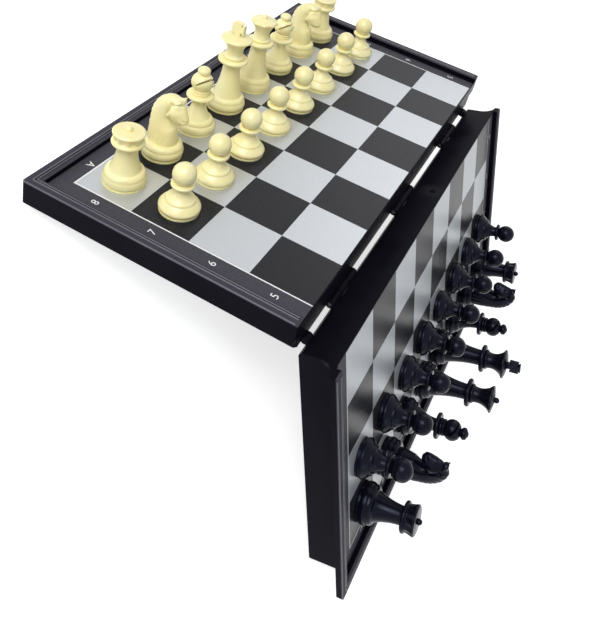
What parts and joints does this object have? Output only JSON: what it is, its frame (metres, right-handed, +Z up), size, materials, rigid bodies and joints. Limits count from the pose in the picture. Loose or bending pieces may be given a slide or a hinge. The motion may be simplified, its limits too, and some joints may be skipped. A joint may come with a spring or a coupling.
{
  "type": "folding magnetic chess set",
  "caption": "Folding travel chess board standing as a ridge: two black trays on a knuckle hinge, printed squares over steel, and magnetic ivory and black men set up on both halves.",
  "frame": {"origin": "on the table, midway below the hinge axis and midway along it, with the half-folded board standing on the ends of its trays", "axes": "+Y along the hinge from file a to file h, +Z up, +X from the half with the ivory men to the half with the black men"},
  "size_m": [0.2354, 0.25, 0.0866],
  "materials": {
    "black_case": "satin moulded black plastic",
    "playing_sheet": "film printed with silver and charcoal squares",
    "steel_plate": "bare thin steel",
    "magnet": "nickel-plated disc magnet",
    "hinge_steel": "drawn steel wire",
    "ivory_men": "glossy ivory plastic",
    "black_men": "glossy black plastic"
  },
  "bodies": {
    "upper_half": {"upper_case_shell": "black_case", "upper_steel_plate": "steel_plate", "upper_playing_sheet": "playing_sheet", "upper_catch_magnets": "magnet", "hinge_pins": "hinge_steel"},
    "lower_half": {"lower_case_shell": "black_case", "lower_steel_plate": "steel_plate", "lower_playing_sheet": "playing_sheet", "lower_catch_magnets": "magnet"},
    "white_rook_a8": {"white_rook_a8": "ivory_men"},
    "white_pawn_a7": {"white_pawn_a7": "ivory_men"},
    "white_knight_b8": {"white_knight_b8": "ivory_men"},
    "white_pawn_b7": {"white_pawn_b7": "ivory_men"},
    "white_bishop_c8": {"white_bishop_c8": "ivory_men"},
    "white_pawn_c7": {"white_pawn_c7": "ivory_men"},
    "white_king_d8": {"white_king_d8": "ivory_men"},
    "white_pawn_d7": {"white_pawn_d7": "ivory_men"},
    "white_queen_e8": {"white_queen_e8": "ivory_men"},
    "white_pawn_e7": {"white_pawn_e7": "ivory_men"},
    "white_bishop_f8": {"white_bishop_f8": "ivory_men"},
    "white_pawn_f7": {"white_pawn_f7": "ivory_men"},
    "white_knight_g8": {"white_knight_g8": "ivory_men"},
    "white_pawn_g7": {"white_pawn_g7": "ivory_men"},
    "white_rook_h8": {"white_rook_h8": "ivory_men"},
    "white_pawn_h7": {"white_pawn_h7": "ivory_men"},
    "black_rook_a1": {"black_rook_a1": "black_men"},
    "black_pawn_a2": {"black_pawn_a2": "black_men"},
    "black_knight_b1": {"black_knight_b1": "black_men"},
    "black_pawn_b2": {"black_pawn_b2": "black_men"},
    "black_bishop_c1": {"black_bishop_c1": "black_men"},
    "black_pawn_c2": {"black_pawn_c2": "black_men"},
    "black_queen_d1": {"black_queen_d1": "black_men"},
    "black_pawn_d2": {"black_pawn_d2": "black_men"},
    "black_king_e1": {"black_king_e1": "black_men"},
    "black_pawn_e2": {"black_pawn_e2": "black_men"},
    "black_bishop_f1": {"black_bishop_f1": "black_men"},
    "black_pawn_f2": {"black_pawn_f2": "black_men"},
    "black_knight_g1": {"black_knight_g1": "black_men"},
    "black_pawn_g2": {"black_pawn_g2": "black_men"},
    "black_rook_h1": {"black_rook_h1": "black_men"},
    "black_pawn_h2": {"black_pawn_h2": "black_men"}
  },
  "joints": [
    {"name": "board_fold", "type": "hinge", "parent": "upper_half", "child": "lower_half", "pos_m": [0, 0, 0.0715], "axis": [0, 1, 0], "range_deg": [-74, 106]},
    {"name": "lift_white_rook_a8", "type": "slide", "parent": "upper_half", "child": "white_rook_a8", "axis": [-0.6018, 0, 0.7986], "range_m": [0, 0.05]},
    {"name": "lift_white_pawn_a7", "type": "slide", "parent": "upper_half", "child": "white_pawn_a7", "axis": [-0.6018, 0, 0.7986], "range_m": [0, 0.05]},
    {"name": "lift_white_knight_b8", "type": "slide", "parent": "upper_half", "child": "white_knight_b8", "axis": [-0.6018, 0, 0.7986], "range_m": [0, 0.05]},
    {"name": "lift_white_pawn_b7", "type": "slide", "parent": "upper_half", "child": "white_pawn_b7", "axis": [-0.6018, 0, 0.7986], "range_m": [0, 0.05]},
    {"name": "lift_white_bishop_c8", "type": "slide", "parent": "upper_half", "child": "white_bishop_c8", "axis": [-0.6018, 0, 0.7986], "range_m": [0, 0.05]},
    {"name": "lift_white_pawn_c7", "type": "slide", "parent": "upper_half", "child": "white_pawn_c7", "axis": [-0.6018, 0, 0.7986], "range_m": [0, 0.05]},
    {"name": "lift_white_king_d8", "type": "slide", "parent": "upper_half", "child": "white_king_d8", "axis": [-0.6018, 0, 0.7986], "range_m": [0, 0.05]},
    {"name": "lift_white_pawn_d7", "type": "slide", "parent": "upper_half", "child": "white_pawn_d7", "axis": [-0.6018, 0, 0.7986], "range_m": [0, 0.05]},
    {"name": "lift_white_queen_e8", "type": "slide", "parent": "upper_half", "child": "white_queen_e8", "axis": [-0.6018, 0, 0.7986], "range_m": [0, 0.05]},
    {"name": "lift_white_pawn_e7", "type": "slide", "parent": "upper_half", "child": "white_pawn_e7", "axis": [-0.6018, 0, 0.7986], "range_m": [0, 0.05]},
    {"name": "lift_white_bishop_f8", "type": "slide", "parent": "upper_half", "child": "white_bishop_f8", "axis": [-0.6018, 0, 0.7986], "range_m": [0, 0.05]},
    {"name": "lift_white_pawn_f7", "type": "slide", "parent": "upper_half", "child": "white_pawn_f7", "axis": [-0.6018, 0, 0.7986], "range_m": [0, 0.05]},
    {"name": "lift_white_knight_g8", "type": "slide", "parent": "upper_half", "child": "white_knight_g8", "axis": [-0.6018, 0, 0.7986], "range_m": [0, 0.05]},
    {"name": "lift_white_pawn_g7", "type": "slide", "parent": "upper_half", "child": "white_pawn_g7", "axis": [-0.6018, 0, 0.7986], "range_m": [0, 0.05]},
    {"name": "lift_white_rook_h8", "type": "slide", "parent": "upper_half", "child": "white_rook_h8", "axis": [-0.6018, 0, 0.7986], "range_m": [0, 0.05]},
    {"name": "lift_white_pawn_h7", "type": "slide", "parent": "upper_half", "child": "white_pawn_h7", "axis": [-0.6018, 0, 0.7986], "range_m": [0, 0.05]},
    {"name": "lift_black_rook_a1", "type": "slide", "parent": "lower_half", "child": "black_rook_a1", "axis": [0.6018, 0, 0.7986], "range_m": [0, 0.05]},
    {"name": "lift_black_pawn_a2", "type": "slide", "parent": "lower_half", "child": "black_pawn_a2", "axis": [0.6018, 0, 0.7986], "range_m": [0, 0.05]},
    {"name": "lift_black_knight_b1", "type": "slide", "parent": "lower_half", "child": "black_knight_b1", "axis": [0.6018, 0, 0.7986], "range_m": [0, 0.05]},
    {"name": "lift_black_pawn_b2", "type": "slide", "parent": "lower_half", "child": "black_pawn_b2", "axis": [0.6018, 0, 0.7986], "range_m": [0, 0.05]},
    {"name": "lift_black_bishop_c1", "type": "slide", "parent": "lower_half", "child": "black_bishop_c1", "axis": [0.6018, 0, 0.7986], "range_m": [0, 0.05]},
    {"name": "lift_black_pawn_c2", "type": "slide", "parent": "lower_half", "child": "black_pawn_c2", "axis": [0.6018, 0, 0.7986], "range_m": [0, 0.05]},
    {"name": "lift_black_queen_d1", "type": "slide", "parent": "lower_half", "child": "black_queen_d1", "axis": [0.6018, 0, 0.7986], "range_m": [0, 0.05]},
    {"name": "lift_black_pawn_d2", "type": "slide", "parent": "lower_half", "child": "black_pawn_d2", "axis": [0.6018, 0, 0.7986], "range_m": [0, 0.05]},
    {"name": "lift_black_king_e1", "type": "slide", "parent": "lower_half", "child": "black_king_e1", "axis": [0.6018, 0, 0.7986], "range_m": [0, 0.05]},
    {"name": "lift_black_pawn_e2", "type": "slide", "parent": "lower_half", "child": "black_pawn_e2", "axis": [0.6018, 0, 0.7986], "range_m": [0, 0.05]},
    {"name": "lift_black_bishop_f1", "type": "slide", "parent": "lower_half", "child": "black_bishop_f1", "axis": [0.6018, 0, 0.7986], "range_m": [0, 0.05]},
    {"name": "lift_black_pawn_f2", "type": "slide", "parent": "lower_half", "child": "black_pawn_f2", "axis": [0.6018, 0, 0.7986], "range_m": [0, 0.05]},
    {"name": "lift_black_knight_g1", "type": "slide", "parent": "lower_half", "child": "black_knight_g1", "axis": [0.6018, 0, 0.7986], "range_m": [0, 0.05]},
    {"name": "lift_black_pawn_g2", "type": "slide", "parent": "lower_half", "child": "black_pawn_g2", "axis": [0.6018, 0, 0.7986], "range_m": [0, 0.05]},
    {"name": "lift_black_rook_h1", "type": "slide", "parent": "lower_half", "child": "black_rook_h1", "axis": [0.6018, 0, 0.7986], "range_m": [0, 0.05]},
    {"name": "lift_black_pawn_h2", "type": "slide", "parent": "lower_half", "child": "black_pawn_h2", "axis": [0.6018, 0, 0.7986], "range_m": [0, 0.05]}
  ]
}
